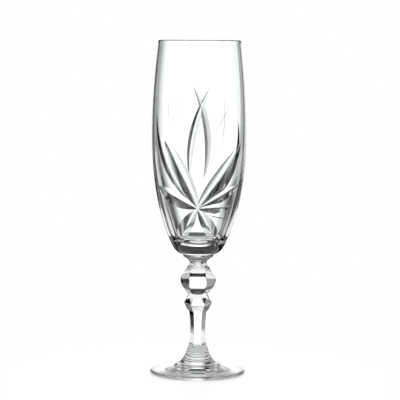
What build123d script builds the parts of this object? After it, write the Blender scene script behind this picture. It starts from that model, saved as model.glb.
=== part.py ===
from build123d import *

import os
from dataclasses import dataclass
from math import comb, cos, pi, radians, sin, sqrt, tan

# Cut-crystal champagne flute: six hot-joined glass pieces on one axis.
#
# From the table up: a spread foot, a hexagonal panel-cut stem shaft, a ridged shoulder knop, a
# panel-cut ball knop, a disc collar (a merese) and the tall bowl with its wheel-cut pattern.
# Each piece meets the next on a flat disc, where the hot glass is joined.
#
# Units are millimetres. +Z is up and the origin is the centre of the foot's resting plane.
# Turns round the axis start at -Y, the side that the first motif faces.

# ---------------------------------------------------------------- foot
FOOT_RADIUS = 30.0
FOOT_EDGE_HEIGHT = 2.3  # top of the foot at its outer edge
FOOT_EDGE_ROUND = 0.8  # polished rounding of the foot's edge
FOOT_HEIGHT = 6.4  # top of the pad that carries the stem
FOOT_PAD_RADIUS = 14.1
FOOT_PAD_ROUND = 1.2  # rounded shoulder of the pad
FOOT_PAD_STEP = 1.9  # how far the pad stands above the foot's spread
FOOT_RING_WIDTH = 2.6  # flat ring that the glass stands on
FOOT_HOLLOW = 1.6  # height of the shallow hollow under the foot

# ---------------------------------------------------------------- stem shaft
SHAFT_LENGTH = 33.5
SHAFT_WAIST_RADIUS = 4.63  # over the arrises, where the shaft is thinnest
SHAFT_WAIST_HEIGHT = 21.1  # of the waist, above the foot
SHAFT_TOP_RADIUS = 5.6
SHAFT_BASE_RADIUS = 11.5  # of the round trumpet flare
SHAFT_LIP = 0.7  # rounded lip where the flare spreads on the foot's pad
PANEL_RUN_OUT_RADIUS = 8.2  # where the shaft's panels leave the flare
PANEL_RUN_OUT_HEIGHT = 5.6  # of that run-out, above the foot

# ---------------------------------------------------------------- shoulder knop
SHOULDER_LENGTH = 10.7
SHOULDER_RIDGE_RADIUS = 8.85
SHOULDER_RIDGE_HEIGHT = 4.9  # of the sharp ridge, above the knop's lower face
SHOULDER_NECK_RADIUS = 6.2
SHOULDER_LEDGE_RADIUS = 6.5  # of the lower face, which stands proud of the shaft

# ---------------------------------------------------------------- ball knop
BALL_LENGTH = 19.3
BALL_RADIUS = 11.1  # over the arrises
BALL_EQUATOR_HEIGHT = 8.4  # above the knop's lower face
BALL_NECK_RADIUS = 5.4

# ---------------------------------------------------------------- collar
COLLAR_LENGTH = 5.8
COLLAR_RADIUS = 9.6
COLLAR_DISC_THICKNESS = 1.7
COLLAR_EDGE_ROUND = 0.5

# ---------------------------------------------------------------- bowl
BOWL_HEIGHT = 134.3
BOWL_HIP_RADIUS = 21.7  # first pull of the outside curve, close above the base
BOWL_TUCK_RADIUS = 12.6  # second pull, which keeps the lower bowl conical
BOWL_BELLY_RADIUS = 39.8  # third pull, which swells the barrel
BOWL_HIP_SHARE = 0.016  # heights of the three pulls, as shares of the bowl's height
BOWL_TUCK_SHARE = 0.137
BOWL_BELLY_SHARE = 0.1355
RIM_RADIUS = 26.0
RIM_WALL = 1.4
LOW_WALL = 5.6  # wall beside the cavity's floor
WALL_KNEE = 0.28  # share of the cavity's height at which the wall is halfway to the rim's
WALL_FALL = 3.0  # how sharply it thins there
FLOOR_THICKNESS = 8.3  # solid glass under the cavity
FLOOR_ROUND_SHARE = 0.04  # share of the cavity's depth that rounds into its floor

# ---------------------------------------------------------------- panels and cuts
PANELS = 6  # flat-ground panels round the shaft and both knops
PANEL_SHARE = cos(pi / PANELS)  # apothem over corner radius of that polygon
MOTIFS = 1  # times the cut motif repeats round the bowl; the far side is left clear
STAR_HEIGHT = 30.8  # of the motif's star centre, above the bowl's base
CUT_STATIONS = 7  # profiles that each groove is lofted through
CUT_REACH = 1.2  # how far the V stands proud of the glass that it cuts
CUT_END_LIFT = 0.05  # clearance between the V's edge and the glass at both ends

# Levels of the flat discs where one piece is joined to the next.
FOOT_JOINT = FOOT_HEIGHT
SHAFT_JOINT = FOOT_JOINT + SHAFT_LENGTH
SHOULDER_JOINT = SHAFT_JOINT + SHOULDER_LENGTH
BALL_JOINT = SHOULDER_JOINT + BALL_LENGTH
BOWL_BASE = BALL_JOINT + COLLAR_LENGTH
RIM_LEVEL = BOWL_BASE + BOWL_HEIGHT
FLOOR_LEVEL = BOWL_BASE + FLOOR_THICKNESS
STAR_LEVEL = BOWL_BASE + STAR_HEIGHT
RIM_ROUND = RIM_WALL / 2


@dataclass(frozen=True)
class Cut:
    """One wheel-cut V groove, laid out on the unrolled surface from the star's centre.

    Points are (along the girth, up the bowl). Depth is at the middle, as a share of the wall.
    The lean opens the left flank and closes the right one by as much.
    """

    start: tuple
    middle: tuple
    end: tuple
    depth: float
    flank: float  # angle between the groove's centre plane and each flank, degrees
    lean: float = 0.0  # degrees


def ray(bearing, length, depth, flank):
    """A straight leaf from the star's centre; the bearing is from upright, towards +girth."""
    across, up = length * sin(radians(bearing)), length * cos(radians(bearing))
    return Cut((0, 0), (across / 2, up / 2), (across, up), depth, flank)


# The leaves and petals that meet in one motif's star.
RAYS = [
    ray(36.5, 49.5, 0.68, 71),  # broad leaf, right
    Cut((0, 0), (-9.4, 21.6), (-21.0, 42.0), 0.68, 71),  # broad leaf, left
    Cut((0, 0), (22.5, 23.5), (26.3, 55.0), 0.42, 62),  # long bowed leaf, right
    Cut((0, 0), (-21.2, 27.5), (-29.0, 58.0), 0.44, 62),  # long bowed leaf, left
    ray(64, 32.0, 0.40, 64),  # upper side petal, right
    ray(-67, 32.0, 0.48, 68),  # upper side petal, left
    ray(89, 22.0, 0.34, 64),  # lower side petal, right
    ray(147, 30.0, 0.36, 66),  # root petal, right
    ray(-145, 30.0, 0.36, 66),  # root petal, left
]
# The two tall stems that cross near the top.
STEMS = [
    Cut((3.2, 18.0), (5.3, 47.9), (-3.6, 76.8), 0.55, 67),
    Cut((-4.4, 17.5), (-3.2, 46.5), (7.3, 75.6), 0.58, 66, -6),
]
# Fine engraved lines beside them, and one under the right-hand side petal.
HAIRLINES = [
    Cut((-16.4, 43.0), (-18.3, 60.0), (-17.8, 76.0), 0.09, 55),
    Cut((-5.0, 50.0), (-10.2, 61.2), (-15.8, 72.4), 0.08, 55),
    Cut((6.1, 36.6), (13.6, 53.5), (25.2, 70.4), 0.09, 55),
    Cut((12.8, 30.3), (15.7, 53.0), (15.1, 75.5), 0.08, 55),
    Cut((5.0, -3.6), (15.0, -6.0), (24.0, -7.4), 0.07, 55),
]


def bezier_point(poles, t):
    """The point at t of the Bezier curve with those (radius, height) poles."""
    n = len(poles) - 1
    weights = [comb(n, i) * (1 - t) ** (n - i) * t**i for i in range(n + 1)]
    return tuple(sum(w * pole[k] for w, pole in zip(weights, poles)) for k in (0, 1))


OUTSIDE_POLES = [
    (COLLAR_RADIUS, BOWL_BASE),
    (BOWL_HIP_RADIUS, BOWL_BASE + BOWL_HIP_SHARE * BOWL_HEIGHT),
    (BOWL_TUCK_RADIUS, BOWL_BASE + BOWL_TUCK_SHARE * BOWL_HEIGHT),
    (BOWL_BELLY_RADIUS, BOWL_BASE + BOWL_BELLY_SHARE * BOWL_HEIGHT),
    (RIM_RADIUS, RIM_LEVEL - RIM_ROUND),
]


def bowl_radius(level):
    """Outside radius of the bowl at a level, before the cuts."""
    low, high = 0.0, 1.0
    for _ in range(40):
        t = (low + high) / 2
        if bezier_point(OUTSIDE_POLES, t)[1] < level:
            low = t
        else:
            high = t
    return bezier_point(OUTSIDE_POLES, (low + high) / 2)[0]


def wall_at(level):
    """Wall thickness of the uncut bowl at a level."""
    share = (level - FLOOR_LEVEL) / (RIM_LEVEL - FLOOR_LEVEL)
    return RIM_WALL + (LOW_WALL - RIM_WALL) / (1 + (max(share, 0.0) / WALL_KNEE) ** WALL_FALL)


def cavity_radius(level):
    """Inside radius of the bowl at a level."""
    share = (level - FLOOR_LEVEL) / (RIM_LEVEL - FLOOR_LEVEL)
    rounding = 1.0
    if share < FLOOR_ROUND_SHARE:
        rounding = sqrt(1 - (1 - share / FLOOR_ROUND_SHARE) ** 2)
    return (bowl_radius(level) - wall_at(level)) * rounding


def bowl_normal(turn, level):
    """Outward unit normal of the bowl's outside at a turn (radians) and level."""
    step = 0.05
    slope = (bowl_radius(level + step) - bowl_radius(level - step)) / (2 * step)
    return Vector(sin(turn), -cos(turn), -slope).normalized()


def on_bowl(point, motif_turn):
    """A point of the motif's layout on the bowl, and the outward normal there."""
    across, up = point
    level = STAR_LEVEL + up
    girth_radius = (bowl_radius(level) + bowl_radius(STAR_LEVEL)) / 2
    turn = motif_turn + across / girth_radius
    radius = bowl_radius(level)
    return Vector(radius * sin(turn), -radius * cos(turn), level), bowl_normal(turn, level)


def along_cut(cut, share):
    """The layout point at a share of a cut's length, on the parabola through its three points."""
    weights = (
        (1 - share) * (1 - 2 * share),
        4 * share * (1 - share),
        share * (2 * share - 1),
    )
    return tuple(
        sum(w * point[k] for w, point in zip(weights, (cut.start, cut.middle, cut.end))) for k in (0, 1)
    )


def cut_profile(cut, share, motif_turn):
    """Plane and corners of the V at a share of a cut's length, square to its path."""
    depth = cut.depth * wall_at(STAR_LEVEL + cut.middle[1]) * 4 * share * (1 - share) - CUT_END_LIFT
    place, normal = on_bowl(along_cut(cut, share), motif_turn)
    ahead, _ = on_bowl(along_cut(cut, share + 0.01), motif_turn)
    side = normal.cross(ahead - place).normalized()
    plane = Plane(origin=place, x_dir=side, z_dir=side.cross(normal))
    left, right = ((depth + CUT_REACH) * tan(radians(cut.flank + way * cut.lean)) for way in (1, -1))
    return plane, [(0, -depth), (left, CUT_REACH), (-right, CUT_REACH)]


def panel_outline(poles_list, outer):
    """Closed right-hand half outline between the panels' Bezier poles and a radius outside them."""
    top, bottom = poles_list[0][0], poles_list[-1][-1]
    for poles in poles_list:
        Bezier(*poles)
    Polyline(bottom, (outer, bottom[1]), (outer, top[1]), top)


# ---------------------------------------------------------------- foot
edge_x = FOOT_RADIUS - FOOT_EDGE_ROUND
ring_x = edge_x - FOOT_RING_WIDTH
spread = edge_x - FOOT_PAD_RADIUS
pad_foot = FOOT_HEIGHT - FOOT_PAD_STEP
with BuildPart() as foot:
    with BuildSketch(Plane.XZ):
        with BuildLine():
            Line((0, FOOT_HEIGHT), (FOOT_PAD_RADIUS - FOOT_PAD_ROUND, FOOT_HEIGHT))
            Bezier(
                (FOOT_PAD_RADIUS - FOOT_PAD_ROUND, FOOT_HEIGHT),
                (FOOT_PAD_RADIUS, FOOT_HEIGHT),
                (FOOT_PAD_RADIUS, pad_foot + 0.2 * FOOT_PAD_STEP),
                (FOOT_PAD_RADIUS + 0.08 * spread, pad_foot),
            )
            Bezier(
                (FOOT_PAD_RADIUS + 0.08 * spread, pad_foot),
                (FOOT_PAD_RADIUS + 0.35 * spread, pad_foot - 0.35 * (pad_foot - FOOT_EDGE_HEIGHT)),
                (FOOT_PAD_RADIUS + 0.7 * spread, FOOT_EDGE_HEIGHT + 0.25 * (pad_foot - FOOT_EDGE_HEIGHT)),
                (edge_x, FOOT_EDGE_HEIGHT),
            )
            ThreePointArc((edge_x, FOOT_EDGE_HEIGHT), (FOOT_RADIUS, FOOT_EDGE_HEIGHT / 2), (edge_x, 0))
            Line((edge_x, 0), (ring_x, 0))
            Bezier(
                (ring_x, 0),
                (0.7 * ring_x, FOOT_HOLLOW),
                (0.35 * ring_x, FOOT_HOLLOW),
                (0, FOOT_HOLLOW),
            )
            Line((0, FOOT_HOLLOW), (0, FOOT_HEIGHT))
        make_face()
    revolve(axis=Axis.Z)

# ---------------------------------------------------------------- stem shaft
waist_level = FOOT_JOINT + SHAFT_WAIST_HEIGHT
shaft_rise = SHAFT_JOINT - waist_level
waist_apothem = SHAFT_WAIST_RADIUS * PANEL_SHARE
lip_x = SHAFT_BASE_RADIUS - SHAFT_LIP / 2
flare_end = (lip_x, FOOT_JOINT + SHAFT_LIP)
with BuildPart() as stem_shaft:
    with BuildSketch(Plane.XZ):
        with BuildLine():
            Line((0, SHAFT_JOINT), (SHAFT_TOP_RADIUS, SHAFT_JOINT))
            Bezier(
                (SHAFT_TOP_RADIUS, SHAFT_JOINT),
                (SHAFT_WAIST_RADIUS + 0.3, SHAFT_JOINT - 0.3 * shaft_rise),
                (SHAFT_WAIST_RADIUS, SHAFT_JOINT - 0.55 * shaft_rise),
                (SHAFT_WAIST_RADIUS, waist_level),
            )
            Bezier(
                (SHAFT_WAIST_RADIUS, waist_level),
                (SHAFT_WAIST_RADIUS, waist_level - 0.31 * SHAFT_WAIST_HEIGHT),
                (SHAFT_WAIST_RADIUS + 1.6, waist_level - 0.72 * SHAFT_WAIST_HEIGHT),
                flare_end,
            )
            ThreePointArc(flare_end, (SHAFT_BASE_RADIUS, FOOT_JOINT + SHAFT_LIP / 2), (lip_x, FOOT_JOINT))
            Polyline((lip_x, FOOT_JOINT), (0, FOOT_JOINT), (0, SHAFT_JOINT))
        make_face()
    revolve(axis=Axis.Z)
    for panel in range(PANELS):
        with BuildSketch(Plane.XZ.rotated((0, 0, (panel + 0.5) * 360 / PANELS))):
            with BuildLine():
                panel_outline(
                    [
                        [
                            (SHAFT_TOP_RADIUS * PANEL_SHARE, SHAFT_JOINT),
                            (waist_apothem + 0.25, SHAFT_JOINT - 0.3 * shaft_rise),
                            (waist_apothem, SHAFT_JOINT - 0.55 * shaft_rise),
                            (waist_apothem, waist_level),
                        ],
                        [
                            (waist_apothem, waist_level),
                            (waist_apothem, waist_level - 0.33 * SHAFT_WAIST_HEIGHT),
                            (waist_apothem + 0.5, waist_level - 0.57 * SHAFT_WAIST_HEIGHT),
                            (PANEL_RUN_OUT_RADIUS, FOOT_JOINT + PANEL_RUN_OUT_HEIGHT),
                        ],
                    ],
                    SHAFT_BASE_RADIUS,
                )
            make_face()
        extrude(amount=SHAFT_BASE_RADIUS, both=True, mode=Mode.SUBTRACT)

# ---------------------------------------------------------------- shoulder knop
ridge_level = SHAFT_JOINT + SHOULDER_RIDGE_HEIGHT
ridge_rise = SHOULDER_JOINT - ridge_level
with BuildPart() as shoulder_knop:
    with BuildSketch(Plane.XZ):
        with BuildLine():
            Line((0, SHOULDER_JOINT), (SHOULDER_NECK_RADIUS, SHOULDER_JOINT))
            Bezier(
                (SHOULDER_NECK_RADIUS, SHOULDER_JOINT),
                (SHOULDER_NECK_RADIUS + 0.1, SHOULDER_JOINT - 0.27 * ridge_rise),
                (SHOULDER_RIDGE_RADIUS - 1.2, SHOULDER_JOINT - 0.67 * ridge_rise),
                (SHOULDER_RIDGE_RADIUS, ridge_level),
            )
            Polyline(
                (SHOULDER_RIDGE_RADIUS, ridge_level),
                (SHOULDER_LEDGE_RADIUS, SHAFT_JOINT),
                (0, SHAFT_JOINT),
                (0, SHOULDER_JOINT),
            )
        make_face()
    revolve(axis=Axis.Z)
    for panel in range(PANELS):
        with BuildSketch(Plane.XZ.rotated((0, 0, (panel + 0.5) * 360 / PANELS))):
            with BuildLine():
                Polyline(
                    (SHOULDER_NECK_RADIUS, SHOULDER_JOINT),
                    (SHOULDER_RIDGE_RADIUS * PANEL_SHARE, ridge_level),
                    (SHOULDER_LEDGE_RADIUS * PANEL_SHARE, SHAFT_JOINT),
                    (SHOULDER_RIDGE_RADIUS + 2, SHAFT_JOINT),
                    (SHOULDER_RIDGE_RADIUS + 2, SHOULDER_JOINT),
                    close=True,
                )
            make_face()
        extrude(amount=SHOULDER_RIDGE_RADIUS, both=True, mode=Mode.SUBTRACT)

# ---------------------------------------------------------------- ball knop
equator_level = SHOULDER_JOINT + BALL_EQUATOR_HEIGHT
ball_rise = BALL_JOINT - equator_level
ball_apothem = BALL_RADIUS * PANEL_SHARE
with BuildPart() as ball_knop:
    with BuildSketch(Plane.XZ):
        with BuildLine():
            Line((0, BALL_JOINT), (BALL_NECK_RADIUS, BALL_JOINT))
            Bezier(
                (BALL_NECK_RADIUS, BALL_JOINT),
                (BALL_NECK_RADIUS + 1.4, BALL_JOINT - 0.27 * ball_rise),
                (BALL_RADIUS, equator_level + 0.27 * ball_rise),
                (BALL_RADIUS, equator_level),
            )
            Bezier(
                (BALL_RADIUS, equator_level),
                (BALL_RADIUS, equator_level - 0.38 * BALL_EQUATOR_HEIGHT),
                (SHOULDER_NECK_RADIUS + 1.8, equator_level - 0.74 * BALL_EQUATOR_HEIGHT),
                (SHOULDER_NECK_RADIUS, SHOULDER_JOINT),
            )
            Polyline((SHOULDER_NECK_RADIUS, SHOULDER_JOINT), (0, SHOULDER_JOINT), (0, BALL_JOINT))
        make_face()
    revolve(axis=Axis.Z)
    for panel in range(PANELS):
        with BuildSketch(Plane.XZ.rotated((0, 0, (panel + 0.5) * 360 / PANELS))):
            with BuildLine():
                panel_outline(
                    [
                        [
                            (BALL_NECK_RADIUS, BALL_JOINT),
                            (BALL_NECK_RADIUS + 0.6, BALL_JOINT - 0.27 * ball_rise),
                            (ball_apothem, equator_level + 0.3 * ball_rise),
                            (ball_apothem, equator_level),
                        ],
                        [
                            (ball_apothem, equator_level),
                            (ball_apothem, equator_level - 0.36 * BALL_EQUATOR_HEIGHT),
                            (SHOULDER_NECK_RADIUS + 1.0, equator_level - 0.76 * BALL_EQUATOR_HEIGHT),
                            (SHOULDER_NECK_RADIUS, SHOULDER_JOINT),
                        ],
                    ],
                    BALL_RADIUS + 2,
                )
            make_face()
        extrude(amount=BALL_RADIUS, both=True, mode=Mode.SUBTRACT)

# ---------------------------------------------------------------- collar
collar_under = BOWL_BASE - COLLAR_DISC_THICKNESS
with BuildPart() as bowl_collar:
    with BuildSketch(Plane.XZ):
        with BuildLine():
            Line((0, BOWL_BASE), (COLLAR_RADIUS - COLLAR_EDGE_ROUND, BOWL_BASE))
            ThreePointArc(
                (COLLAR_RADIUS - COLLAR_EDGE_ROUND, BOWL_BASE),
                (COLLAR_RADIUS, BOWL_BASE - COLLAR_DISC_THICKNESS / 2),
                (COLLAR_RADIUS - COLLAR_EDGE_ROUND, collar_under),
            )
            Bezier(
                (COLLAR_RADIUS - COLLAR_EDGE_ROUND, collar_under),
                (BALL_NECK_RADIUS + 1.6, collar_under - 0.27 * (collar_under - BALL_JOINT)),
                (BALL_NECK_RADIUS, collar_under - 0.53 * (collar_under - BALL_JOINT)),
                (BALL_NECK_RADIUS, BALL_JOINT),
            )
            Polyline((BALL_NECK_RADIUS, BALL_JOINT), (0, BALL_JOINT), (0, BOWL_BASE))
        make_face()
    revolve(axis=Axis.Z)

# ---------------------------------------------------------------- bowl
CAVITY_STEPS = 12  # points of the cavity's curve above its rounded floor
FLOOR_STEPS = 4  # and on the rounded floor
rim_inside = RIM_RADIUS - RIM_WALL
rounded_depth = FLOOR_ROUND_SHARE * (RIM_LEVEL - FLOOR_LEVEL)
floor_levels = [
    FLOOR_LEVEL + rounded_depth * (1 - cos(step / FLOOR_STEPS * pi / 2)) for step in range(1, FLOOR_STEPS)
]
wall_levels = [
    FLOOR_LEVEL + rounded_depth + step / CAVITY_STEPS * (RIM_LEVEL - RIM_ROUND - FLOOR_LEVEL - rounded_depth)
    for step in range(CAVITY_STEPS)
]
cavity_points = [(0, FLOOR_LEVEL)]
cavity_points += [(cavity_radius(level), level) for level in floor_levels + wall_levels]
cavity_points += [(rim_inside, RIM_LEVEL - RIM_ROUND)]
with BuildPart() as bowl:
    with BuildSketch(Plane.XZ):
        with BuildLine():
            Line((0, BOWL_BASE), (COLLAR_RADIUS, BOWL_BASE))
            Bezier(*OUTSIDE_POLES)
            ThreePointArc(
                (RIM_RADIUS, RIM_LEVEL - RIM_ROUND),
                (RIM_RADIUS - RIM_ROUND, RIM_LEVEL),
                (rim_inside, RIM_LEVEL - RIM_ROUND),
            )
            Spline(*reversed(cavity_points))
            Line((0, FLOOR_LEVEL), (0, BOWL_BASE))
        make_face()
    revolve(axis=Axis.Z)
    for motif in range(MOTIFS):
        motif_turn = motif * 2 * pi / MOTIFS
        for cut in RAYS + STEMS + HAIRLINES:
            for station in range(CUT_STATIONS):
                plane, corners = cut_profile(cut, station / (CUT_STATIONS - 1), motif_turn)
                with BuildSketch(plane):
                    with BuildLine():
                        Polyline(*corners, close=True)
                    make_face()
            loft(mode=Mode.SUBTRACT)

# ---------------------------------------------------------------- export
os.makedirs("parts", exist_ok=True)
pieces = {
    "foot": foot,
    "stem_shaft": stem_shaft,
    "shoulder_knop": shoulder_knop,
    "ball_knop": ball_knop,
    "bowl_collar": bowl_collar,
    "bowl": bowl,
}
for name, piece in pieces.items():
    piece.part.label = name
    export_step(piece.part, f"parts/{name}.step")
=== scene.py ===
import logging
from bisect import bisect_left
from dataclasses import dataclass, field
from enum import Enum
from math import atan2, comb, cos, hypot, pi, radians, sin, sqrt, tan

import bmesh
import bpy
from mathutils import Matrix, Vector


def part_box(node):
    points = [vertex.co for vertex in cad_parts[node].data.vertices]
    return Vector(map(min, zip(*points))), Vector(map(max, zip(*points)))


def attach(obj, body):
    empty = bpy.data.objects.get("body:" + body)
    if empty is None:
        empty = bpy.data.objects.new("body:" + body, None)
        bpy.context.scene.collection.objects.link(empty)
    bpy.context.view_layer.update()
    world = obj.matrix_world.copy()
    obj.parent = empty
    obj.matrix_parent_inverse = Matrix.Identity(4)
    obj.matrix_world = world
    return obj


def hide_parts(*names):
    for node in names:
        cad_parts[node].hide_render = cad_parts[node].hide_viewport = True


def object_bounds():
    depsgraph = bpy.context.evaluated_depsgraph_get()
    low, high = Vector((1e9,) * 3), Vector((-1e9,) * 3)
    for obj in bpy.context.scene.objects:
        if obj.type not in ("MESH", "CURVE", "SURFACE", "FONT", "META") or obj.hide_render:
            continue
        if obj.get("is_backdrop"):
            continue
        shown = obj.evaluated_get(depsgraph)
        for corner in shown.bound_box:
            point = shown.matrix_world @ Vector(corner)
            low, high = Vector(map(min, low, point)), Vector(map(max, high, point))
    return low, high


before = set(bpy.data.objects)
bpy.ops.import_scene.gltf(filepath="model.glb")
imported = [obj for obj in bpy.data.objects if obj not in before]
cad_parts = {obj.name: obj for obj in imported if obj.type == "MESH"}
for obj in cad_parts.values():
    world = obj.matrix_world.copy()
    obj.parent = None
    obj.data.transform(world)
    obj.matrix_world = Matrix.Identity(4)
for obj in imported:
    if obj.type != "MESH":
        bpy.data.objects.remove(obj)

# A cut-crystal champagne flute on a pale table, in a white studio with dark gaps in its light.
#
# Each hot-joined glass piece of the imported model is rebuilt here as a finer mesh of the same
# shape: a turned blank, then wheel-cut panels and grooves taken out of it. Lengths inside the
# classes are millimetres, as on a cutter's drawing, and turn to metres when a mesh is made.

LOG = logging.getLogger("champagne_flute")
MM = 0.001
SEGMENTS = 240  # round the axis; a multiple of 12, so that panel corners fall on a column
ON_AXIS = 1e-9  # millimetres within which a radius is none at all
TOUCHING = 1e-7  # metres within which two levels are the same
NOISE_LOW, NOISE_HIGH = 0.35, 0.7  # Blender's noise lies between these nearly everywhere

Point = tuple[float, float]


class Surface(Enum):
    """How a stretch of glass was finished; the value is its material slot."""

    POLISHED = 0
    CUT = 1
    ENGRAVED = 2
    GROUND = 3
    SEAM = 4


def linear(code: str) -> tuple[float, float, float, float]:
    """Turns an sRGB hex colour to linear light.

    Args:
        code: Six hex digits after a hash, such as "#F4F6F6".

    Returns:
        Linear red, green and blue, and an alpha of 1.
    """
    channels = [int(code[i : i + 2], 16) / 255 for i in (1, 3, 5)]
    return tuple(c / 12.92 if c <= 0.04045 else ((c + 0.055) / 1.055) ** 2.4 for c in channels) + (1.0,)


def add_node(
    tree: bpy.types.NodeTree,
    kind: str,
    settings: dict[str, object] | None = None,
    inputs: dict[str | int, object] | None = None,
) -> bpy.types.Node:
    """Adds one node with its settings and links.

    Args:
        tree: The tree that gets the node.
        kind: Blender's node type.
        settings: Properties of the node.
        inputs: For each input socket, a value or the output socket that feeds it.

    Returns:
        The new node.
    """
    node = tree.nodes.new(kind)
    for name, value in (settings or {}).items():
        setattr(node, name, value)
    for socket, value in (inputs or {}).items():
        if isinstance(value, bpy.types.NodeSocket):
            tree.links.new(value, node.inputs[socket])
        else:
            node.inputs[socket].default_value = value
    return node


# ------------------------------------------------------------------ finishes


def empty_material(name: str) -> bpy.types.Material:
    """Makes a material whose node tree is empty."""
    material = bpy.data.materials.new(name)
    material.use_nodes = True
    material.node_tree.nodes.clear()
    return material


@dataclass(frozen=True)
class CrystalFinish:
    """Lead crystal, 24% lead oxide: clear, heavy and bright, with strong bending of light.

    Its one colour is almost none, so the eye reads the glass by its dark edges and sparkle.
    """

    name: str
    tint: str = "#FAFCFC"
    ior: float = 1.545
    smooth: float = 0.0  # lowest roughness
    rough: float = 0.0  # highest roughness
    grain_mm: float = 6.0  # size of one patch of the roughness pattern
    ripple_mm: float = 9.0  # spacing of the surface ripple
    ripple: float = 0.0  # strength of the ripple
    ripple_depth_mm: float = 0.02

    def build(self) -> bpy.types.Material:
        """Makes the material, with roughness and ripple from noise in the piece's own frame."""
        material = empty_material(self.name)
        tree = material.node_tree
        place = add_node(tree, "ShaderNodeTexCoord").outputs["Object"]
        patches = add_node(
            tree,
            "ShaderNodeTexNoise",
            inputs={"Vector": place, "Scale": 1 / (self.grain_mm * MM), "Detail": 4.0, "Roughness": 0.6},
        )
        roughness = add_node(
            tree,
            "ShaderNodeMapRange",
            inputs={
                "Value": patches.outputs["Fac"],
                "From Min": NOISE_LOW,
                "From Max": NOISE_HIGH,
                "To Min": self.smooth,
                "To Max": self.rough,
            },
        )
        waves = add_node(
            tree,
            "ShaderNodeTexNoise",
            inputs={"Vector": place, "Scale": 1 / (self.ripple_mm * MM), "Detail": 1.0, "Roughness": 0.4},
        )
        bump = add_node(
            tree,
            "ShaderNodeBump",
            inputs={
                "Height": waves.outputs["Fac"],
                "Strength": self.ripple,
                "Distance": self.ripple_depth_mm * MM,
            },
        )
        glass = add_node(
            tree,
            "ShaderNodeBsdfPrincipled",
            inputs={
                "Base Color": linear(self.tint),
                "IOR": self.ior,
                "Transmission Weight": 1.0,
                "Roughness": roughness.outputs["Result"],
                "Normal": bump.outputs["Normal"],
            },
        )
        add_node(tree, "ShaderNodeOutputMaterial", inputs={"Surface": glass.outputs["BSDF"]})
        return material


@dataclass(frozen=True)
class FusedSeam:
    """The inside of a hot joint, where two gathers have run together: nothing is left to see."""

    name: str = "fused_crystal_seam"

    def build(self) -> bpy.types.Material:
        """Makes the material, which lets light straight through from one piece to the next."""
        material = empty_material(self.name)
        tree = material.node_tree
        clear = add_node(tree, "ShaderNodeBsdfTransparent", inputs={"Color": (1.0, 1.0, 1.0, 1.0)})
        add_node(tree, "ShaderNodeOutputMaterial", inputs={"Surface": clear.outputs["BSDF"]})
        return material


@dataclass(frozen=True)
class OpalTable:
    """The turntable: opal acrylic, half lit from below, so it's pale with only a faint shadow."""

    name: str = "opal_acrylic_table"
    colour: str = "#F4F4F3"
    roughness: float = 0.5
    glow: float = 0.5

    def build(self) -> bpy.types.Material:
        """Makes the material."""
        material = empty_material(self.name)
        tree = material.node_tree
        opal = add_node(
            tree,
            "ShaderNodeBsdfPrincipled",
            inputs={
                "Base Color": linear(self.colour),
                "Roughness": self.roughness,
                "Emission Color": linear("#FFFFFF"),
                "Emission Strength": self.glow,
            },
        )
        add_node(tree, "ShaderNodeOutputMaterial", inputs={"Surface": opal.outputs["BSDF"]})
        return material


@dataclass(frozen=True)
class GlasshouseFinishes:
    """The five finishes that the glass carries, in the order of their slots."""

    # Fire-polished: never touched by a wheel, so it is as smooth as glass gets, with the faint
    # ripple of glass that was shaped hot.
    polished: CrystalFinish = CrystalFinish("fire_polished_crystal", ripple=0.12, rough=0.004)
    # Acid-polished cuts: clear, with the last softness of the wheel's lines.
    cut: CrystalFinish = CrystalFinish(
        "acid_polished_cut", smooth=0.14, rough=0.26, grain_mm=1.2, ripple=0.12, ripple_mm=2.5
    )
    # Engraved lines: left matte by a fine copper wheel, so they show as thin grey strokes.
    engraved: CrystalFinish = CrystalFinish(
        "copper_wheel_engraving", tint="#6E7474", smooth=0.3, rough=0.55, grain_mm=0.4
    )
    # The foot's resting ring: ground flat with fine emery.
    ground: CrystalFinish = CrystalFinish("emery_ground_ring", smooth=0.2, rough=0.4, grain_mm=0.5)
    seam: FusedSeam = FusedSeam()

    def build(self) -> list[bpy.types.Material]:
        """Makes the materials, one for each Surface."""
        return [finish.build() for finish in (self.polished, self.cut, self.engraved, self.ground, self.seam)]


# ------------------------------------------------------------------ blanks and cuts


@dataclass(frozen=True)
class Run:
    """A stretch of a turned outline, as (radius, height) points, and its finish."""

    points: list[Point]
    surface: Surface = Surface.POLISHED


def bezier(poles: list[Point], count: int) -> list[Point]:
    """Samples a Bezier curve.

    The fractions in the pieces below place its inner poles, which pull at the curve from a share
    of the way along it.

    Args:
        poles: Its (radius, height) poles.
        count: How many steps to take.

    Returns:
        count + 1 points, ends included.
    """
    n = len(poles) - 1
    samples = []
    for step in range(count + 1):
        t = step / count
        weights = [comb(n, i) * (1 - t) ** (n - i) * t**i for i in range(n + 1)]
        samples.append(tuple(sum(w * pole[k] for w, pole in zip(weights, poles)) for k in (0, 1)))
    return samples


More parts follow.
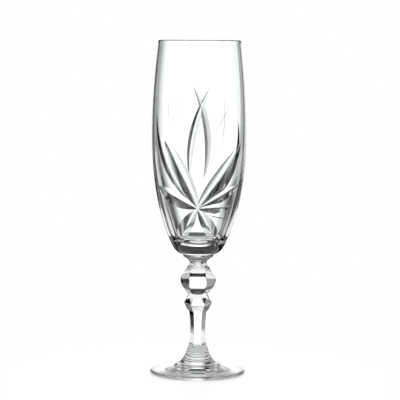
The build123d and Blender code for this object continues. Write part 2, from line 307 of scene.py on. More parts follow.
def round_corner(start: Point, middle: Point, end: Point, count: int = 8) -> list[Point]:
    """Samples the circular arc through three points.

    Args:
        start: Its first point.
        middle: A point on it.
        end: Its last point.
        count: How many steps to take.

    Returns:
        count + 1 points, ends included.
    """
    (ax, ay), (bx, by), (cx, cy) = start, middle, end
    d = 2 * (ax * (by - cy) + bx * (cy - ay) + cx * (ay - by))
    a2, b2, c2 = ax * ax + ay * ay, bx * bx + by * by, cx * cx + cy * cy
    ox = (a2 * (by - cy) + b2 * (cy - ay) + c2 * (ay - by)) / d
    oy = (a2 * (cx - bx) + b2 * (ax - cx) + c2 * (bx - ax)) / d
    radius = hypot(ax - ox, ay - oy)
    first, via, last = (atan2(y - oy, x - ox) for x, y in (start, middle, end))
    to_via, to_last = (via - first) % (2 * pi), (last - first) % (2 * pi)
    sweep = to_last if to_via <= to_last else to_last - 2 * pi
    angles = [first + sweep * step / count for step in range(count + 1)]
    return [(ox + radius * cos(a), oy + radius * sin(a)) for a in angles]


def mesh_object(name: str, bm: bmesh.types.BMesh, finishes: list[bpy.types.Material]) -> bpy.types.Object:
    """Turns a bmesh into a closed, outward-facing object in the scene.

    Args:
        name: The object's name.
        bm: The mesh; it is freed here.
        finishes: The materials, one for each Surface.

    Returns:
        The object.
    """
    bmesh.ops.recalc_face_normals(bm, faces=bm.faces)
    mesh = bpy.data.meshes.new(name)
    bm.to_mesh(mesh)
    bm.free()
    for material in finishes:
        mesh.materials.append(material)
    thing = bpy.data.objects.new(name, mesh)
    bpy.context.scene.collection.objects.link(thing)
    return thing


@dataclass
class Blank:
    """A turned piece of glass that panels and grooves are then cut into."""

    name: str
    runs: list[Run]
    finishes: list[bpy.types.Material]
    smooth_angle: float = 14.0  # edges that turn by more than this stay crisp, degrees
    segments: int = SEGMENTS
    thing: bpy.types.Object | None = field(default=None, init=False)

    def turn(self) -> "Blank":
        """Revolves the outline about the axis."""
        bm = bmesh.new()
        rows: list[list[bmesh.types.BMVert]] = []
        surfaces: list[Surface] = []
        for run in self.runs:
            for index, (radius, height) in enumerate(run.points):
                if rows and index == 0:
                    continue
                if rows:
                    surfaces.append(run.surface)
                rows.append(self._ring(bm, radius, height))
        for low, high, surface in zip(rows, rows[1:], surfaces):
            self._band(bm, low, high, surface)
        self.thing = mesh_object(self.name, bm, self.finishes)
        return self

    def _ring(self, bm: bmesh.types.BMesh, radius: float, height: float) -> list[bmesh.types.BMVert]:
        """Adds one ring of vertices, or the single vertex of a pole on the axis."""
        if radius < ON_AXIS:
            return [bm.verts.new((0, 0, height * MM))]
        turns = (2 * pi * k / self.segments for k in range(self.segments))
        return [bm.verts.new((radius * MM * sin(a), -radius * MM * cos(a), height * MM)) for a in turns]

    def _band(
        self,
        bm: bmesh.types.BMesh,
        low: list[bmesh.types.BMVert],
        high: list[bmesh.types.BMVert],
        surface: Surface,
    ) -> None:
        """Joins two neighbouring rings with faces of one finish."""
        for k in range(self.segments):
            ahead = (k + 1) % self.segments
            corners = [low[k % len(low)], low[ahead % len(low)], high[ahead % len(high)], high[k % len(high)]]
            unique = list(dict.fromkeys(corners))
            if len(unique) > 2:
                bm.faces.new(unique).material_index = surface.value

    def cut_away(self, tools: list[bpy.types.Object]) -> "Blank":
        """Takes each tool's volume out of the blank and removes the tool.

        Args:
            tools: Closed objects; each leaves its own finish on the faces that it cuts.

        Returns:
            The blank.
        """
        for tool in tools:
            cut = self.thing.modifiers.new(tool.name, "BOOLEAN")
            cut.operation = "DIFFERENCE"
            cut.solver = "MANIFOLD"
            cut.material_mode = "TRANSFER"
            cut.object = tool
        bpy.context.view_layer.update()
        evaluated = self.thing.evaluated_get(bpy.context.evaluated_depsgraph_get())
        carved = bpy.data.meshes.new_from_object(evaluated)
        blank_mesh = self.thing.data
        self.thing.modifiers.clear()
        self.thing.data = carved
        bpy.data.meshes.remove(blank_mesh)
        for tool in tools:
            tool_mesh = tool.data
            bpy.data.objects.remove(tool)
            bpy.data.meshes.remove(tool_mesh)
        return self

    def finish(self, node: str) -> bpy.types.Object:
        """Shades the glass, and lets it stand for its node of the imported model.

        Args:
            node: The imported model's name for the piece.

        Returns:
            The finished object.
        """
        mesh = self.thing.data
        mesh.name = self.name
        mesh.shade_smooth()
        mesh.set_sharp_from_angle(angle=radians(self.smooth_angle))
        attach(self.thing, "root")
        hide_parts(node)
        LOG.info("%s: %d faces", self.name, len(mesh.polygons))
        return self.thing


@dataclass
class PanelWheel:
    """A flat panel all along a piece, repeated at even turns round the axis.

    Its faces take the polished finish, since panels are polished bright after grinding.
    """

    name: str
    curve: list[Point]  # apothem and height along the panel, from top to bottom
    reach: float  # radius that the waste reaches out to
    finishes: list[bpy.types.Material]
    panels: int = 6

    def tools(self) -> list[bpy.types.Object]:
        """Makes one waste block for each panel."""
        return [self._block(index) for index in range(self.panels)]

    def _block(self, index: int) -> bpy.types.Object:
        """Makes the waste block outside one panel."""
        turn = 2 * pi * index / self.panels
        outward = Vector((sin(turn), -cos(turn), 0))
        along = Vector((cos(turn), sin(turn), 0))
        outline = self.curve + [(self.reach, self.curve[-1][1]), (self.reach, self.curve[0][1])]
        bm = bmesh.new()
        ends = []
        for side in (-self.reach, self.reach):
            places = [(outward * radius + along * side) * MM for radius, _ in outline]
            ends.append([bm.verts.new((p.x, p.y, height * MM)) for p, (_, height) in zip(places, outline)])
        for k in range(len(outline)):
            ahead = (k + 1) % len(outline)
            bm.faces.new([ends[0][k], ends[0][ahead], ends[1][ahead], ends[1][k]])
        bm.faces.new(ends[0])
        bm.faces.new(ends[1])
        return mesh_object(f"{self.name}_{index}", bm, self.finishes)


def joint_levels(node: str) -> Point:
    """Reads where a piece is joined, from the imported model's own piece.

    Args:
        node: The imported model's name for the piece.

    Returns:
        Its lowest and highest level, in millimetres.
    """
    low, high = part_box(node)
    return low.z / MM, high.z / MM


# ------------------------------------------------------------------ foot


@dataclass
class Foot:
    """The spread foot, with a raised pad for the stem and a ground ring that it stands on."""

    finishes: list[bpy.types.Material]
    radius: float = 30.0
    edge_height: float = 2.3
    edge_round: float = 0.8
    pad_radius: float = 14.1
    pad_round: float = 1.2
    pad_step: float = 1.9
    ring_width: float = 2.6
    hollow: float = 1.6
    seam_radius: float = 11.15  # the shaft's lip stands on this much of the pad

    def build(self) -> bpy.types.Object:
        """Turns the foot."""
        _, top = joint_levels("foot")
        edge_x = self.radius - self.edge_round
        ring_x = edge_x - self.ring_width
        spread = edge_x - self.pad_radius
        pad_foot = top - self.pad_step
        shoulder = bezier(
            [
                (self.pad_radius - self.pad_round, top),
                (self.pad_radius, top),
                (self.pad_radius, pad_foot + 0.2 * self.pad_step),
                (self.pad_radius + 0.08 * spread, pad_foot),
            ],
            count=14,
        )
        slope = bezier(
            [
                (self.pad_radius + 0.08 * spread, pad_foot),
                (self.pad_radius + 0.35 * spread, pad_foot - 0.35 * (pad_foot - self.edge_height)),
                (self.pad_radius + 0.7 * spread, self.edge_height + 0.25 * (pad_foot - self.edge_height)),
                (edge_x, self.edge_height),
            ],
            count=24,
        )
        outermost = (self.radius, self.edge_height / 2)
        edge = round_corner((edge_x, self.edge_height), outermost, (edge_x, 0), count=14)
        under = bezier(
            [
                (ring_x, 0),
                (0.7 * ring_x, self.hollow),
                (0.35 * ring_x, self.hollow),
                (0, self.hollow),
            ],
            count=30,
        )
        runs = [
            Run([(0, top), (self.seam_radius, top)], Surface.SEAM),
            Run([(self.seam_radius, top), shoulder[0]]),
            Run(shoulder),
            Run(slope),
            Run(edge),
            Run([edge[-1], (ring_x, 0)], Surface.GROUND),
            Run(under),
        ]
        return Blank("Foot_spread", runs, self.finishes).turn().finish("foot")


# ------------------------------------------------------------------ stem


@dataclass
class StemShaft:
    """The panel-cut shaft, which flares to a round trumpet where it meets the foot."""

    finishes: list[bpy.types.Material]
    waist_radius: float = 4.63
    waist_height: float = 21.1
    top_radius: float = 5.6
    base_radius: float = 11.5
    lip: float = 0.7
    run_out_radius: float = 8.2
    run_out_height: float = 5.6
    panel_share: float = cos(pi / 6)

    def build(self) -> bpy.types.Object:
        """Turns the shaft and cuts its six panels."""
        base, top = joint_levels("stem_shaft")
        waist = base + self.waist_height
        rise = top - waist
        lip_x = self.base_radius - self.lip / 2
        upper = bezier(
            [
                (self.top_radius, top),
                (self.waist_radius + 0.3, top - 0.3 * rise),
                (self.waist_radius, top - 0.55 * rise),
                (self.waist_radius, waist),
            ],
            count=20,
        )
        lower = bezier(
            [
                (self.waist_radius, waist),
                (self.waist_radius, waist - 0.31 * self.waist_height),
                (self.waist_radius + 1.6, waist - 0.72 * self.waist_height),
                (lip_x, base + self.lip),
            ],
            count=40,
        )
        lip = round_corner((lip_x, base + self.lip), (self.base_radius, base + self.lip / 2), (lip_x, base))
        runs = [
            Run([(0, top), (self.top_radius, top)], Surface.SEAM),
            Run(upper),
            Run(lower),
            Run(lip),
            Run([(lip_x, base), (0, base)], Surface.SEAM),
        ]
        apothem = self.waist_radius * self.panel_share
        panel = bezier(
            [
                (self.top_radius * self.panel_share, top),
                (apothem + 0.25, top - 0.3 * rise),
                (apothem, top - 0.55 * rise),
                (apothem, waist),
            ],
            count=20,
        )
        panel += bezier(
            [
                (apothem, waist),
                (apothem, waist - 0.33 * self.waist_height),
                (apothem + 0.5, waist - 0.57 * self.waist_height),
                (self.run_out_radius, base + self.run_out_height),
            ],
            count=30,
        )[1:]
        blank = Blank("Stem_shaft", runs, self.finishes).turn()
        blank.cut_away(PanelWheel("shaft_panel", extend(panel), self.base_radius, self.finishes).tools())
        return blank.finish("stem_shaft")


def extend(curve: list[Point], run_on: float = 0.4, fall: float = 0.2) -> list[Point]:
    """Runs a panel's curve on past its two ends, so that its waste clears the blank.

    Args:
        curve: The panel's points, from top to bottom.
        run_on: How far to go on, in millimetres: upwards at the top, outwards at the bottom.
        fall: How far the bottom falls for each millimetre that it runs outwards.

    Returns:
        The longer curve.
    """
    first, last = curve[0], curve[-1]
    return [(first[0], first[1] + run_on)] + curve + [(last[0] + run_on, last[1] - run_on * fall)]


@dataclass
class ShoulderKnop:
    """The small knop under the ball, with a sharp six-sided ridge and a flat ledge below."""

    finishes: list[bpy.types.Material]
    ridge_radius: float = 8.85
    ridge_height: float = 4.9
    neck_radius: float = 6.2
    ledge_radius: float = 6.5
    shaft_radius: float = 5.6  # corner radius of the shaft that is joined under the ledge
    panel_share: float = cos(pi / 6)

    def build(self) -> bpy.types.Object:
        """Turns the knop, cuts its facets and marks where the shaft is joined."""
        base, top = joint_levels("shoulder_knop")
        ridge = base + self.ridge_height
        rise = top - ridge
        upper = bezier(
            [
                (self.neck_radius, top),
                (self.neck_radius + 0.1, top - 0.27 * rise),
                (self.ridge_radius - 1.2, top - 0.67 * rise),
                (self.ridge_radius, ridge),
            ],
            count=16,
        )
        runs = [
            Run([(0, top), (self.neck_radius, top)], Surface.SEAM),
            Run(upper),
            Run([(self.ridge_radius, ridge), (self.ledge_radius, base)]),
            Run([(self.ledge_radius, base), (0, base)]),
        ]
        facet = [
            (self.neck_radius, top),
            (self.ridge_radius * self.panel_share, ridge),
            (self.ledge_radius * self.panel_share, base),
        ]
        blank = Blank("Shoulder_knop", runs, self.finishes).turn()
        wheel = PanelWheel("shoulder_facet", extend(facet, 0.1), self.ridge_radius, self.finishes)
        blank.cut_away(wheel.tools())
        self._mark_joint(blank.thing.data, base)
        return blank.finish("shoulder_knop")

    def _lies_at(self, face: bmesh.types.BMFace, level: float) -> bool:
        """Whether the whole face is at a level."""
        return all(abs(v.co.z - level * MM) < TOUCHING for v in face.verts)

    def _mark_joint(self, mesh: bpy.types.Mesh, base: float) -> None:
        """Splits the ledge along the shaft's outline and fuses what lies inside it."""
        bm = bmesh.new()
        bm.from_mesh(mesh)
        apothem = self.shaft_radius * self.panel_share * MM
        turns = (k * pi / 3 for k in range(6))
        directions = [Vector((sin(turn), -cos(turn), 0)) for turn in turns]
        for direction in directions:
            ledge = [f for f in bm.faces if self._lies_at(f, base)]
            parts = {item for face in ledge for item in (face, *face.edges, *face.verts)}
            bmesh.ops.bisect_plane(bm, geom=list(parts), plane_co=direction * apothem, plane_no=direction)
        for face in bm.faces:
            if self._lies_at(face, base):
                centre = face.calc_center_median()
                inside = all(centre.dot(direction) < apothem for direction in directions)
                face.material_index = (Surface.SEAM if inside else Surface.POLISHED).value
        bm.to_mesh(mesh)
        bm.free()


@dataclass
class BallKnop:
    """The large ball knop, ground with six tall panels."""

    finishes: list[bpy.types.Material]
    radius: float = 11.1
    equator_height: float = 8.4
    neck_radius: float = 5.4
    foot_radius: float = 6.2
    waste_depth: float = 2.0  # how far the panels' waste reaches out past the ball
    panel_share: float = cos(pi / 6)

    def build(self) -> bpy.types.Object:
        """Turns the ball and cuts its panels."""
        base, top = joint_levels("ball_knop")
        equator = base + self.equator_height
        rise = top - equator
        apothem = self.radius * self.panel_share
        runs = [
            Run([(0, top), (self.neck_radius, top)], Surface.SEAM),
            Run(
                bezier(
                    [
                        (self.neck_radius, top),
                        (self.neck_radius + 1.4, top - 0.27 * rise),
                        (self.radius, equator + 0.27 * rise),
                        (self.radius, equator),
                    ],
                    count=36,
                )
            ),
            Run(
                bezier(
                    [
                        (self.radius, equator),
                        (self.radius, equator - 0.38 * self.equator_height),
                        (self.foot_radius + 1.8, equator - 0.74 * self.equator_height),
                        (self.foot_radius, base),
                    ],
                    count=30,
                )
            ),
            Run([(self.foot_radius, base), (0, base)], Surface.SEAM),
        ]
        panel = bezier(
            [
                (self.neck_radius, top),
                (self.neck_radius + 0.6, top - 0.27 * rise),
                (apothem, equator + 0.3 * rise),
                (apothem, equator),
            ],
            count=36,
        )
        panel += bezier(
            [
                (apothem, equator),
                (apothem, equator - 0.36 * self.equator_height),
                (self.foot_radius + 1.0, equator - 0.76 * self.equator_height),
                (self.foot_radius, base),
            ],
            count=30,
        )[1:]
        blank = Blank("Ball_knop", runs, self.finishes).turn()
        blank.cut_away(PanelWheel("ball_panel", panel, self.radius + self.waste_depth, self.finishes).tools())
        return blank.finish("ball_knop")


@dataclass
class BowlCollar:
    """The merese: a thin disc between stem and bowl, on a short concave neck."""

    finishes: list[bpy.types.Material]
    radius: float = 9.6
    disc_thickness: float = 1.7
    edge_round: float = 0.5
    neck_radius: float = 5.4

    def build(self) -> bpy.types.Object:
        """Turns the collar."""
        base, top = joint_levels("bowl_collar")
        under = top - self.disc_thickness
        inner = self.radius - self.edge_round
        outermost = (self.radius, top - self.disc_thickness / 2)
        edge = round_corner((inner, top), outermost, (inner, under), count=12)
        neck = bezier(
            [
                (inner, under),
                (self.neck_radius + 1.6, under - 0.27 * (under - base)),
                (self.neck_radius, under - 0.53 * (under - base)),
                (self.neck_radius, base),
            ],
            count=24,
        )
        runs = [
            Run([(0, top), (inner, top)], Surface.SEAM),
            Run(edge),
            Run(neck),
            Run([(self.neck_radius, base), (0, base)], Surface.SEAM),
        ]
        return Blank("Bowl_collar", runs, self.finishes).turn().finish("bowl_collar")


# ------------------------------------------------------------------ bowl


@dataclass(frozen=True)
class Groove:
    """One wheel-cut V, laid out on the unrolled surface from the motif's star centre.

    Points are (along the girth, up the bowl) in millimetres. Depth is at the middle, as a share
    of the wall there. The flank is each side's angle from the groove's centre plane, in degrees,
    and the lean widens its left side and steepens its right one by as much. Without a root the
    two flanks meet in a sharp line.
    """

    start: Point
    middle: Point
    end: Point
    depth: float
    flank: float
    lean: float = 0.0
    root: float = 0.0  # how widely the two flanks blend at the bottom, in millimetres
    surface: Surface = Surface.CUT

    def at(self, share: float) -> Point:
        """The layout point at a share of the groove's length."""
        weights = ((1 - share) * (1 - 2 * share), 4 * share * (1 - share), share * (2 * share - 1))
        points = (self.start, self.middle, self.end)
        return tuple(sum(w * p[k] for w, p in zip(weights, points)) for k in (0, 1))


def ray(bearing: float, length: float, depth: float, flank: float, root: float = 0.2) -> Groove:
    """A straight leaf from the star's centre.

    Args:
        bearing: Its direction from upright, towards +girth, in degrees.
        length: Its length.
        depth: Share of the wall that it takes at its middle.
        flank: Angle of each flank from the centre plane, in degrees.
        root: How widely the flanks blend at the bottom, in millimetres.

    Returns:
        The groove.
    """
    across, up = length * sin(radians(bearing)), length * cos(radians(bearing))
    return Groove((0, 0), (across / 2, up / 2), (across, up), depth, flank, root=root)


@dataclass
class BowlShape:
    """The uncut bowl: its outside curve, its wall and its cavity."""

    base: float
    rim: float
    collar_radius: float = 9.6
    hip_radius: float = 21.7
    tuck_radius: float = 12.6
    belly_radius: float = 39.8
    hip_share: float = 0.016
    tuck_share: float = 0.137
    belly_share: float = 0.1355
    rim_radius: float = 26.0
    rim_wall: float = 1.4
    low_wall: float = 5.6
    wall_knee: float = 0.28
    wall_fall: float = 3.0
    floor_thickness: float = 8.3
    floor_round_share: float = 0.04
    collar_edge: float = 0.5  # the rounded edge of the collar's disc, which isn't joined
    fine_steps: int = 4000
    round_steps: int = 24  # rings round the floor's corner
    wall_steps: int = 64
    poles: list[Point] = field(init=False)
    fine: list[Point] = field(init=False)
    fine_levels: list[float] = field(init=False)
    floor: float = field(init=False)

    def __post_init__(self) -> None:
        """Works out the outside curve once, finely enough to read radii from."""
        height = self.rim - self.base
        self.poles = [
            (self.collar_radius, self.base),
            (self.hip_radius, self.base + self.hip_share * height),
            (self.tuck_radius, self.base + self.tuck_share * height),
            (self.belly_radius, self.base + self.belly_share * height),
            (self.rim_radius, self.rim - self.rim_wall / 2),
        ]
        self.fine = bezier(self.poles, self.fine_steps)
        self.fine_levels = [level for _, level in self.fine]
        self.floor = self.base + self.floor_thickness

    def outside(self, level: float) -> float:
        """Outside radius at a level."""
        k = min(max(bisect_left(self.fine_levels, level), 1), len(self.fine) - 1)
        (r0, z0), (r1, z1) = self.fine[k - 1], self.fine[k]
        return r0 + (r1 - r0) * (level - z0) / (z1 - z0)

    def wall(self, level: float) -> float:
        """Wall thickness at a level."""
        share = max((level - self.floor) / (self.rim - self.floor), 0.0)
        thinning = 1 + (share / self.wall_knee) ** self.wall_fall
        return self.rim_wall + (self.low_wall - self.rim_wall) / thinning

    def cavity(self, level: float) -> float:
        """Inside radius at a level."""
        share = (level - self.floor) / (self.rim - self.floor)
        rounding = 1.0
        if share < self.floor_round_share:
            rounding = sqrt(1 - (1 - share / self.floor_round_share) ** 2)
        return (self.outside(level) - self.wall(level)) * rounding

    def normal(self, turn: float, level: float) -> Vector:
        """Outward unit normal at a turn, in radians, and a level."""
        step = 0.05
        slope = (self.outside(level + step) - self.outside(level - step)) / (2 * step)
        return Vector((sin(turn), -cos(turn), -slope)).normalized()

    def runs(self) -> list[Run]:
        """The whole outline, from the joint with the collar round to the cavity's floor."""
        seam = self.collar_radius - self.collar_edge
        inside_rim = self.rim_radius - self.rim_wall
        rim_edge = self.rim - self.rim_wall / 2
        depth = self.floor_round_share * (self.rim - self.floor)
        quarter = [k / self.round_steps * pi / 2 for k in range(1, self.round_steps)]
        round_levels = [self.floor + depth * (1 - cos(angle)) for angle in quarter]
        straight = rim_edge - self.floor - depth
        wall_levels = [
            self.floor + depth + straight * k / self.wall_steps for k in range(self.wall_steps)
        ]
        inside = [(0.0, self.floor)] + [(self.cavity(z), z) for z in round_levels + wall_levels]
        inside.append((inside_rim, rim_edge))
        crest = (self.rim_radius - self.rim_wall / 2, self.rim)
        lip = round_corner((self.rim_radius, rim_edge), crest, (inside_rim, rim_edge), count=12)
        return [
            Run([(0, self.base), (seam, self.base)], Surface.SEAM),
            Run([(seam, self.base), (self.collar_radius, self.base)]),
            Run(bezier(self.poles, 120)),
            Run(lip),
            Run(inside[::-1]),
        ]


@dataclass
class Bowl:
    """The tall barrel bowl, with a motif of leaves, petals and crossing stems cut into its front."""

    finishes: list[bpy.types.Material]
    star_height: float = 30.8
    stations: int = 40  # profiles along each groove
    reach: float = 1.2  # how far each cutting edge stands proud of the glass
    root_facets: int = 7  # faces across each flank of a groove with a rounded root
    root_crowding: float = 1.3  # how much closer those faces lie at the root
    end_lift: float = 0.05  # how far the wheel is off the glass at a groove's ends
    look_ahead: float = 0.01  # share of the length over which a groove's direction is taken
    shape: BowlShape = field(init=False)
    leaves: tuple[Groove, ...] = (
        ray(36.5, 49.5, 0.68, 65, root=1.0),
        Groove((0, 0), (-9.4, 21.6), (-21.0, 42.0), 0.68, 65, root=1.0),
        Groove((0, 0), (22.5, 23.5), (26.3, 55.0), 0.42, 62),
        Groove((0, 0), (-21.2, 27.5), (-29.0, 58.0), 0.44, 62),
    )
    petals: tuple[Groove, ...] = (
        ray(64, 32.0, 0.40, 64),
        ray(-67, 32.0, 0.48, 68),
        ray(89, 22.0, 0.34, 64),
        ray(147, 30.0, 0.36, 66),
        ray(-145, 30.0, 0.36, 66),
    )
    stems: tuple[Groove, ...] = (
        Groove((3.2, 18.0), (5.3, 47.9), (-3.6, 76.8), 0.55, 67),
        Groove((-4.4, 17.5), (-3.2, 46.5), (7.3, 75.6), 0.58, 66, -6),
    )
    hairlines: tuple[Groove, ...] = (
        Groove((-16.4, 43.0), (-18.3, 60.0), (-17.8, 76.0), 0.09, 55, surface=Surface.ENGRAVED),
        Groove((-5.0, 50.0), (-10.2, 61.2), (-15.8, 72.4), 0.08, 55, surface=Surface.ENGRAVED),
        Groove((6.1, 36.6), (13.6, 53.5), (25.2, 70.4), 0.09, 55, surface=Surface.ENGRAVED),
        Groove((12.8, 30.3), (15.7, 53.0), (15.1, 75.5), 0.08, 55, surface=Surface.ENGRAVED),
        Groove((5.0, -3.6), (15.0, -6.0), (24.0, -7.4), 0.07, 55, surface=Surface.ENGRAVED),
    )

    def build(self) -> bpy.types.Object:
        """Blows the blank and cuts the motif into it."""
        self.shape = BowlShape(*joint_levels("bowl"))
        blank = Blank("Bowl_cut", self.shape.runs(), self.finishes).turn()
        grooves = self.leaves + self.petals + self.stems + self.hairlines
        tools = [self._wheel(groove, f"groove_{index}") for index, groove in enumerate(grooves)]
        return blank.cut_away(tools).finish("bowl")

    def _place(self, point: Point) -> tuple[Vector, Vector]:
        """Lays a point of the motif on the bowl.

        Args:
            point: Along the girth and up the bowl from the star's centre.

        Returns:
            The point on the bowl, and the outward normal there.
        """
        across, up = point
        star_level = self.shape.base + self.star_height
        level = star_level + up
        radius = self.shape.outside(level)
        turn = 2 * across / (radius + self.shape.outside(star_level))
        return Vector((radius * sin(turn), -radius * cos(turn), level)), self.shape.normal(turn, level)

    def _wheel_edge(self, groove: Groove, depth: float) -> list[Point]:
        """Draws the wheel's edge, whose flanks blend into each other at the bottom.

        Args:
            groove: The groove that it cuts.
            depth: How deep its edge lies.

        Returns:
            (side, outward) points from the groove's left to its right.
        """
        facets = self.root_facets if groove.root else 1
        halves = []
        for way in (1, -1):
            spread = tan(radians(groove.flank + way * groove.lean))
            far = spread * sqrt((depth + self.reach + groove.root) ** 2 - groove.root**2)
            steps = [far * (k / facets) ** self.root_crowding for k in range(1, facets + 1)]
            halves.append([(way * x, hypot(x / spread, groove.root) - groove.root - depth) for x in steps])
        return halves[0][::-1] + [(0.0, -depth)] + halves[1]

    def _wheel(self, groove: Groove, name: str) -> bpy.types.Object:
        """Makes the waste that a V-edged wheel takes out along a groove.

        Args:
            groove: Where it runs and how deep.
            name: The tool's name.

        Returns:
            A closed object.
        """
        level = self.shape.base + self.star_height + groove.middle[1]
        deepest = groove.depth * self.shape.wall(level)
        bm = bmesh.new()
        profiles = []
        for station in range(self.stations + 1):
            share = station / self.stations
            depth = deepest * 4 * share * (1 - share) - self.end_lift
            place, normal = self._place(groove.at(share))
            ahead, _ = self._place(groove.at(share + self.look_ahead))
            side = normal.cross(ahead - place).normalized()
            outline = self._wheel_edge(groove, depth)
            corners = (place + side * across + normal * outward for across, outward in outline)
            profiles.append([bm.verts.new(corner * MM) for corner in corners])
        for near, far in zip(profiles, profiles[1:]):
            for k in range(len(near)):
                after = (k + 1) % len(near)
                bm.faces.new([near[k], near[after], far[after], far[k]])
        bm.faces.new(profiles[0])
        bm.faces.new(profiles[-1])
        for face in bm.faces:
            face.material_index = groove.surface.value
        return mesh_object(name, bm, self.finishes)


# ------------------------------------------------------------------ studio


@dataclass(frozen=True)
class Fade:
    """A soft edge of the light: nothing at one angle, full strength at another, in degrees."""

    dark: float
    full: float

    def node(
        self, tree: bpy.types.NodeTree, angle: bpy.types.NodeSocket, most: float = 1.0
    ) -> bpy.types.NodeSocket:
        """Adds the fade.

        Args:
            tree: The nodes that get it.
            angle: The angle that it runs along, in degrees.
            most: Its full strength.

        Returns:
            A strength from nothing to the most.
        """
        (low, below), (high, above) = sorted([(self.dark, 0.0), (self.full, most)])
        limits = {"From Min": low, "From Max": high, "To Min": below, "To Max": above}
        settings = {"interpolation_type": "SMOOTHSTEP"}
        return add_node(tree, "ShaderNodeMapRange", settings, {"Value": angle, **limits}).outputs[0]


def calculate(
    tree: bpy.types.NodeTree,
    operation: str,
    *terms: bpy.types.NodeSocket | float,
) -> bpy.types.NodeSocket:
    """Adds one step of arithmetic.

    Args:
        tree: The nodes that get it.
        operation: Blender's name for it.
        terms: Sockets or numbers, in the order of the step's inputs.

    Returns:
        The result.
    """
    return add_node(tree, "ShaderNodeMath", {"operation": operation}, dict(enumerate(terms))).outputs[0]


@dataclass(frozen=True)
class Softbox:
    """One tall soft light round the glass.

    Angles are degrees: across from straight behind the glass to the right, and up from level.
    """

    middle: float
    left: Fade = Fade(-13.0, -8.0)  # from the middle
    right: Fade = Fade(13.0, 8.0)
    low: Fade = Fade(-38.0, -28.0)
    high: Fade = Fade(24.0, 16.0)
    brightness: float = 1.2

    def node(
        self, tree: bpy.types.NodeTree, across: bpy.types.NodeSocket, up: bpy.types.NodeSocket
    ) -> bpy.types.NodeSocket:
        """Adds the light.

        Args:
            tree: The nodes that get it.
            across: The direction looked in, from straight behind the glass to the right.
            up: The direction's angle above level.

        Returns:
            The light's strength in that direction.
        """
        off = calculate(tree, "WRAP", calculate(tree, "SUBTRACT", across, self.middle), -180.0, 180.0)
        left, right = self.left.node(tree, off), self.right.node(tree, off, self.brightness)
        low, high = self.low.node(tree, up), self.high.node(tree, up)
        wide = calculate(tree, "MULTIPLY", left, right)
        tall = calculate(tree, "MULTIPLY", low, high)
        return calculate(tree, "MULTIPLY", wide, tall)


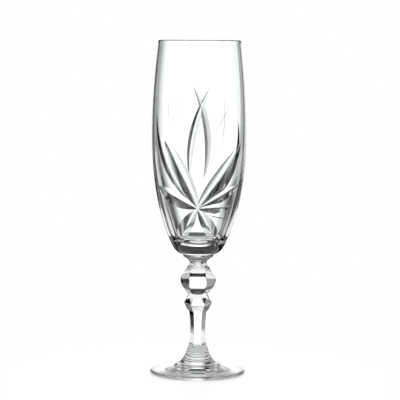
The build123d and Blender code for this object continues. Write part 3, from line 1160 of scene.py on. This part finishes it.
@dataclass
class Studio:
    """A white table in a ring of tall softboxes, with dark gaps that draw the glass's edges.

    The strongest light stands straight behind the motif, and its weaker fill spreads it to the
    right, so that each cut has a dark left flank and a light right one. The rest of the ring
    lights the glass for whoever walks round it. Strengths are for the glass alone: the room's
    walls look white, and the table is lit evenly by the ceiling.
    """

    table_radius: float = 0.12  # metres, as all the table's sizes
    table_thickness: float = 0.012
    table_drop: float = 0.00005  # keeps the table's top just clear of the glass that stands on it
    key: Softbox = Softbox(
        0.0,
        left=Fade(-20.0, -6.0),
        right=Fade(13.0, 8.0),
        low=Fade(-17.0, -12.0),
        brightness=1.4,
    )
    fill: Softbox = Softbox(
        0.0,
        left=Fade(-20.0, -6.0),
        right=Fade(34.0, 20.0),
        low=Fade(-17.0, -12.0),
        brightness=0.84,
    )
    ring: tuple[Softbox, ...] = (
        Softbox(-42.0, brightness=0.35),
        Softbox(-42.0, low=Fade(-28.0, -23.0), high=Fade(-7.0, -11.0), brightness=0.95),
        Softbox(42.0, low=Fade(-28.0, -23.0), high=Fade(-7.0, -11.0), brightness=0.6),
        Softbox(-90.0),
        Softbox(-135.0),
        Softbox(180.0),
        Softbox(135.0),
        Softbox(90.0),
    )
    overhead: Fade = Fade(62.0, 70.0)
    overhead_brightness: float = 0.2
    floor: Fade = Fade(-28.0, -36.0)
    floor_brightness: float = 0.6
    back_floor_brightness: float = 0.15  # behind the motif, where more light would wash it out
    floor_side: Fade = Fade(55.0, 65.0)  # how far to either side the brighter floor starts
    ceiling_brightness: float = 0.62

    def build(self) -> None:
        """Sets the table and the light round it."""
        self._table()
        self._room()

    def _table(self) -> None:
        """Makes the round table top."""
        bm = bmesh.new()
        bmesh.ops.create_circle(bm, cap_ends=True, segments=128, radius=self.table_radius)
        rim = bmesh.ops.extrude_face_region(bm, geom=bm.faces[:])
        lowered = [v for v in rim["geom"] if isinstance(v, bmesh.types.BMVert)]
        bmesh.ops.translate(bm, verts=lowered, vec=(0, 0, -self.table_thickness))
        table = mesh_object("Turntable_top", bm, [OpalTable().build()])
        table.location.z = -self.table_drop
        table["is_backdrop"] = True

    def _room(self) -> None:
        """Makes the white room, and the lights in it that the glass bends and mirrors."""
        world = bpy.data.worlds.new("studio_room")
        bpy.context.scene.world = world
        world.use_nodes = True
        tree = world.node_tree
        tree.nodes.clear()
        towards = add_node(tree, "ShaderNodeTexCoord").outputs["Generated"]
        parts = add_node(tree, "ShaderNodeSeparateXYZ", inputs={0: towards})
        azimuth = calculate(tree, "ARCTAN2", parts.outputs["X"], parts.outputs["Y"])
        across = calculate(tree, "DEGREES", azimuth)
        up = calculate(tree, "DEGREES", calculate(tree, "ARCSINE", parts.outputs["Z"]))
        lit = self.overhead.node(tree, up, self.overhead_brightness)
        aside = self.floor_side.node(tree, calculate(tree, "ABSOLUTE", across), self.floor_brightness)
        below = calculate(tree, "MAXIMUM", aside, self.back_floor_brightness)
        lit = calculate(tree, "ADD", lit, calculate(tree, "MULTIPLY", below, self.floor.node(tree, up)))
        for softbox in (self.key, self.fill, *self.ring):
            lit = calculate(tree, "MAXIMUM", lit, softbox.node(tree, across, up))
        ray = add_node(tree, "ShaderNodeLightPath").outputs
        ceiling = calculate(tree, "MULTIPLY", ray["Is Diffuse Ray"], self.ceiling_brightness)
        lit = calculate(tree, "MAXIMUM", lit, ceiling)
        white = linear("#FFFFFF")
        light = add_node(tree, "ShaderNodeBackground", inputs={"Color": white, "Strength": lit})
        wall = add_node(tree, "ShaderNodeBackground", inputs={"Color": white, "Strength": 1.0})
        behind = {0: ray["Is Camera Ray"], 1: light.outputs[0], 2: wall.outputs[0]}
        mixed = add_node(tree, "ShaderNodeMixShader", inputs=behind)
        add_node(tree, "ShaderNodeOutputWorld", inputs={"Surface": mixed.outputs[0]})


@dataclass
class Camera:
    """A long lens level with the rim, tilted down to take in the whole glass."""

    distance: float = 1.127  # metres from the glass's axis
    lens: float = 161.9  # focal length, in millimetres
    sensor: float = 36.0  # full-frame width, in millimetres
    tilt: float = 5.083  # degrees below the horizon
    turn: float = 1.6  # degrees round from the front, towards +X
    lean: float = 0.45  # degrees of roll
    aside: float = 0.0008  # metres that the lens's axis passes to the right of the glass's

    def build(self) -> bpy.types.Object:
        """Places the camera."""
        _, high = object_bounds()
        data = bpy.data.cameras.new("Long_lens")
        data.lens = self.lens
        data.sensor_width = self.sensor
        camera = bpy.data.objects.new("Camera", data)
        bpy.context.scene.collection.objects.link(camera)
        around = Matrix.Rotation(radians(self.turn), 4, "Z")
        place = Matrix.Translation((self.aside, -self.distance, high.z))
        tilt = Matrix.Rotation(radians(90 - self.tilt), 4, "X")
        roll = Matrix.Rotation(radians(self.lean), 4, "Z")
        camera.matrix_world = around @ place @ tilt @ roll
        bpy.context.scene.camera = camera
        return camera


def set_light_paths() -> None:
    """Lets light bend through every wall of thick glass, and keeps the white room white."""
    scene = bpy.context.scene
    scene.cycles.max_bounces = 32
    scene.cycles.transmission_bounces = 32
    scene.cycles.glossy_bounces = 16
    scene.cycles.transparent_max_bounces = 32
    scene.cycles.sample_clamp_indirect = 10.0
    scene.view_settings.view_transform = "Standard"
    scene.view_settings.look = "None"


def main() -> None:
    """Builds the glass piece by piece, then the studio round it."""
    logging.basicConfig(level=logging.INFO, format="%(name)s %(message)s")
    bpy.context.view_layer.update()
    finishes = GlasshouseFinishes().build()
    for piece in (Foot, StemShaft, ShoulderKnop, BallKnop, BowlCollar, Bowl):
        thing = piece(finishes).build()
        LOG.info("%s measures %s mm", thing.name, [round(v / MM, 1) for v in thing.dimensions])
    Studio().build()
    Camera().build()
    set_light_paths()


if __name__ == "__main__":
    main()
